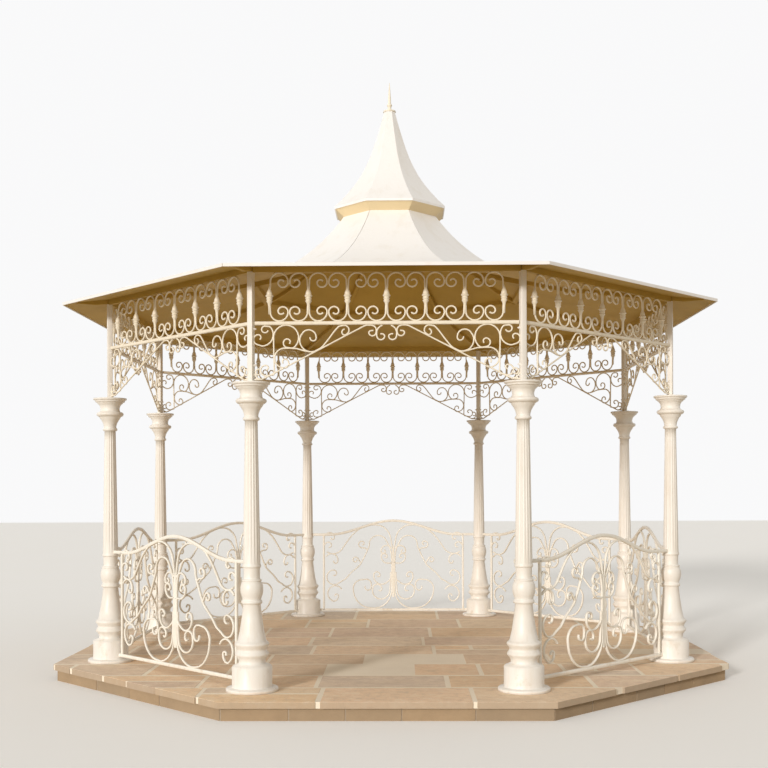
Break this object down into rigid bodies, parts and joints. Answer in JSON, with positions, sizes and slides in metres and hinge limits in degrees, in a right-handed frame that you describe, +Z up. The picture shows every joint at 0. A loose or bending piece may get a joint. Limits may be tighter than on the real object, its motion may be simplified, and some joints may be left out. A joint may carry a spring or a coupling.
{
  "type": "octagonal bandstand",
  "caption": "Open octagonal bandstand on a stone deck, with fluted cast columns, scrolled friezes, brackets and railings, and a bell-shaped roof with a spire.",
  "frame": {"origin": "middle of the foot of the stone riser, at ground level", "axes": "+Z up; the open front bay faces -Y; +X to the right of someone looking at the front"},
  "size_m": [5.34, 5.34, 5.105],
  "materials": {
    "cream_iron": "cream satin paint on cast and wrought iron",
    "cream_sheet": "cream paint on roof sheet",
    "flagstone": "worn buff, pink and grey sandstone flags with pale joints",
    "riser_stone": "rough coursed stone"
  },
  "bodies": {
    "root": {"plinth_riser": "riser_stone", "flagstone_deck": "flagstone", "column_1": "cream_iron", "column_2": "cream_iron", "column_3": "cream_iron", "column_4": "cream_iron", "column_5": "cream_iron", "column_6": "cream_iron", "column_7": "cream_iron", "column_8": "cream_iron", "corner_posts": "cream_iron", "railing_2": "cream_iron", "railing_3": "cream_iron", "railing_4": "cream_iron", "railing_5": "cream_iron", "railing_6": "cream_iron", "railing_7": "cream_iron", "railing_8": "cream_iron", "frieze_1": "cream_iron", "frieze_2": "cream_iron", "frieze_3": "cream_iron", "frieze_4": "cream_iron", "frieze_5": "cream_iron", "frieze_6": "cream_iron", "frieze_7": "cream_iron", "frieze_8": "cream_iron", "brackets_1": "cream_iron", "brackets_2": "cream_iron", "brackets_3": "cream_iron", "brackets_4": "cream_iron", "brackets_5": "cream_iron", "brackets_6": "cream_iron", "brackets_7": "cream_iron", "brackets_8": "cream_iron", "ring_beam": "cream_iron", "hip_ribs": "cream_iron", "purlin_ring": "cream_iron", "lower_roof": "cream_sheet", "fascia": "cream_sheet", "bell_roof": "cream_sheet", "cupola": "cream_sheet", "finial": "cream_iron"}
  },
  "joints": []
}
